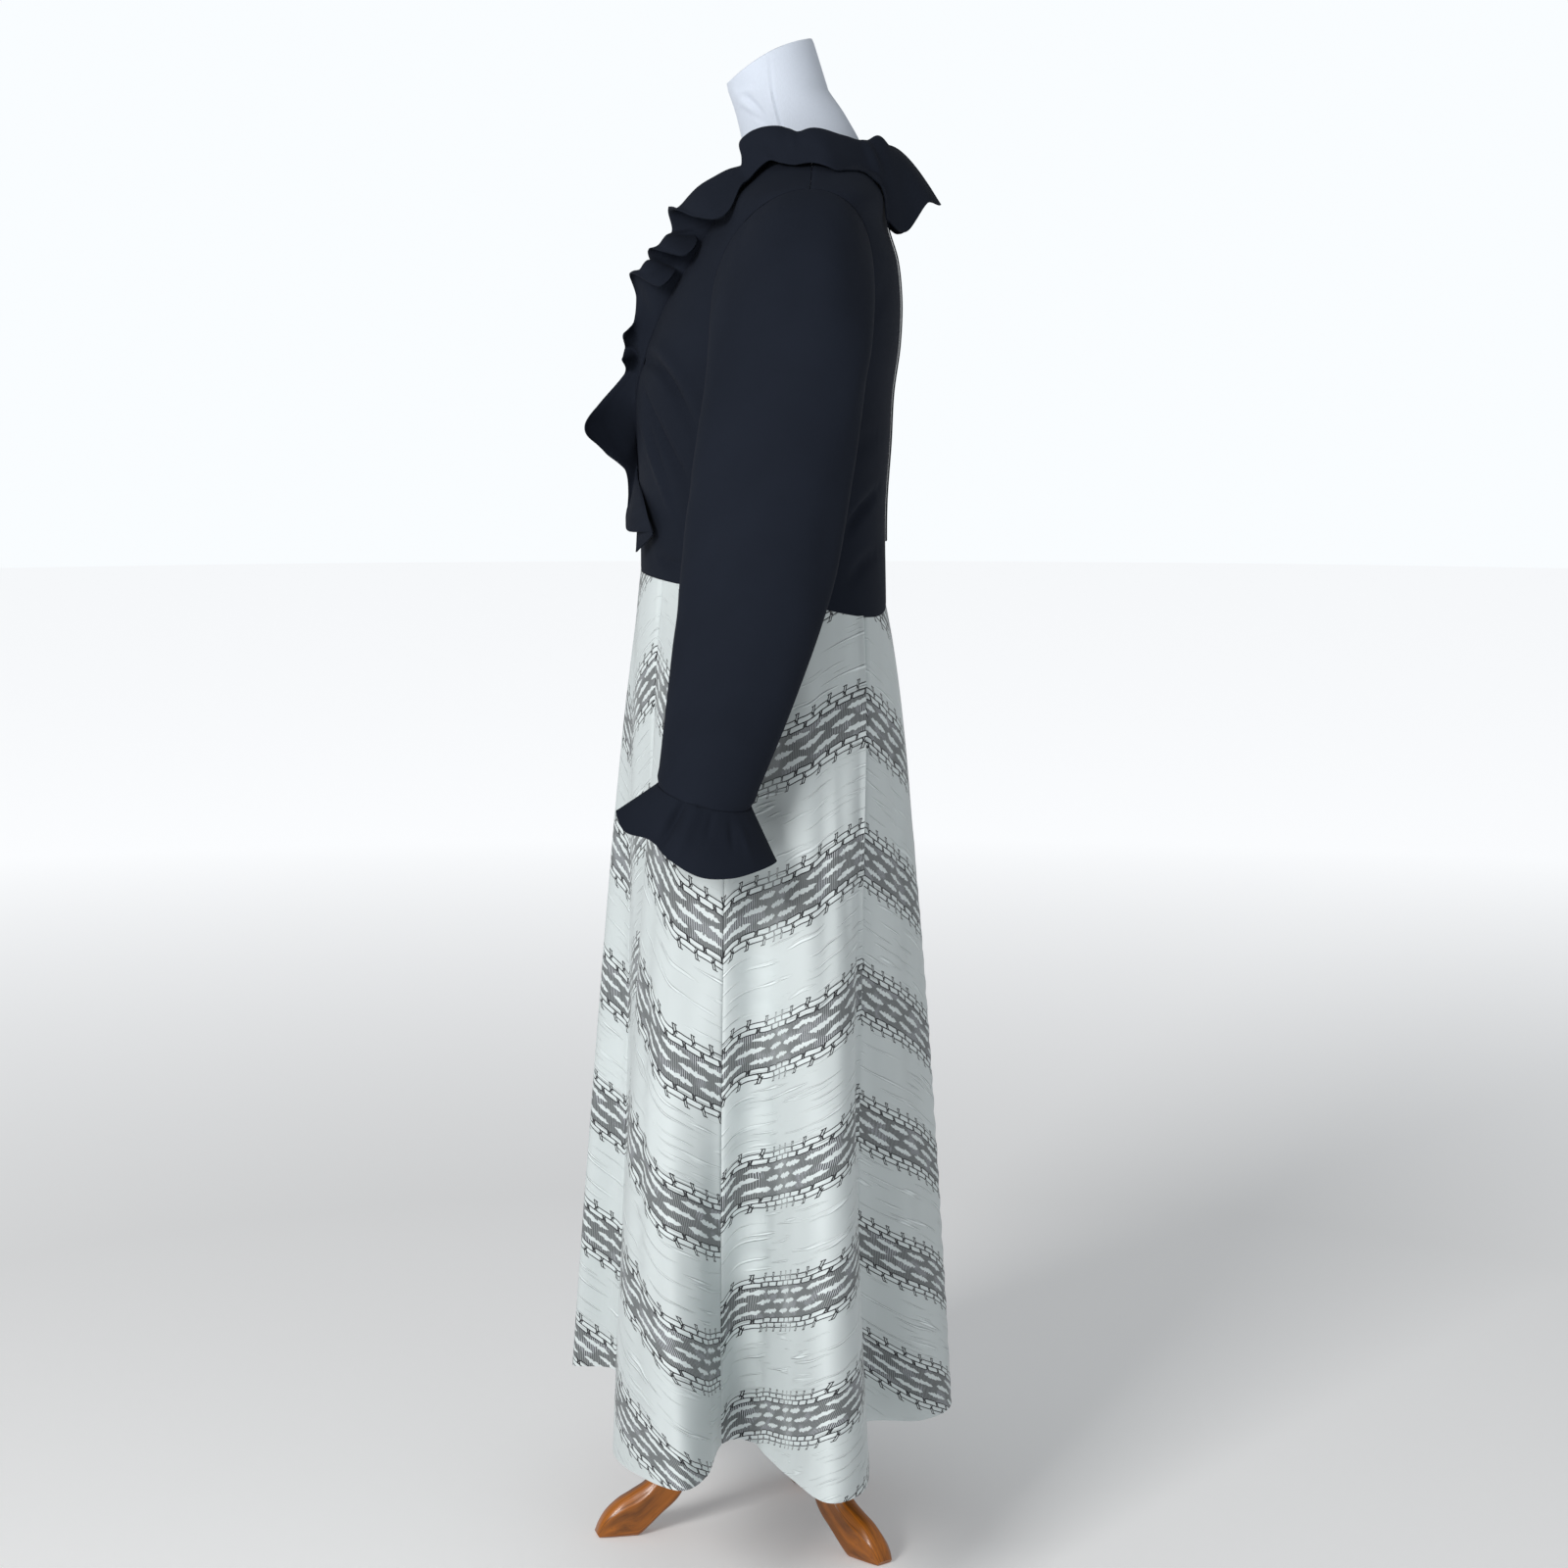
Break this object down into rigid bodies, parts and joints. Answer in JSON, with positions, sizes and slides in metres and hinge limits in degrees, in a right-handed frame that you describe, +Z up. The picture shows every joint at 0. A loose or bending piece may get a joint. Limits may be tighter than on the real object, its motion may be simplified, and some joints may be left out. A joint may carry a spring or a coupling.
{
  "type": "maxi dress on a dress form",
  "caption": "Long dress with a dark bodice, long sleeves and a flounced V neck over a flared, chevron banded gored skirt, on a limbless dress form with a wooden tripod.",
  "frame": {"origin": "centre of the bounding box on the floor, under the middle of the skirt's hem", "axes": "+Z up, -Y the way the dress faces, +X the wearer's left"},
  "size_m": [0.8323, 0.396, 1.5412],
  "materials": {
    "black_crepe": "matte crepe",
    "white_jacquard": "matte jacquard",
    "white_jersey": "smooth jersey",
    "brown_wood": "varnished"
  },
  "bodies": {
    "root": {"bodice_front_left": "black_crepe", "bodice_front_right": "black_crepe", "bodice_back_left": "black_crepe", "bodice_back_right": "black_crepe", "back_placket": "black_crepe", "sleeve_left": "black_crepe", "sleeve_right": "black_crepe", "cuff_flounce_left": "black_crepe", "cuff_flounce_right": "black_crepe", "neck_flounce_left": "black_crepe", "neck_flounce_right": "black_crepe", "gore_front_left": "white_jacquard", "gore_side_front_left": "white_jacquard", "gore_side_back_left": "white_jacquard", "gore_back_left": "white_jacquard", "gore_back_right": "white_jacquard", "gore_side_back_right": "white_jacquard", "gore_side_front_right": "white_jacquard", "gore_front_right": "white_jacquard", "form_body": "white_jersey", "form_pole": "brown_wood", "form_hub": "brown_wood", "leg_front": "brown_wood", "leg_back_left": "brown_wood", "leg_right": "brown_wood"}
  },
  "joints": []
}
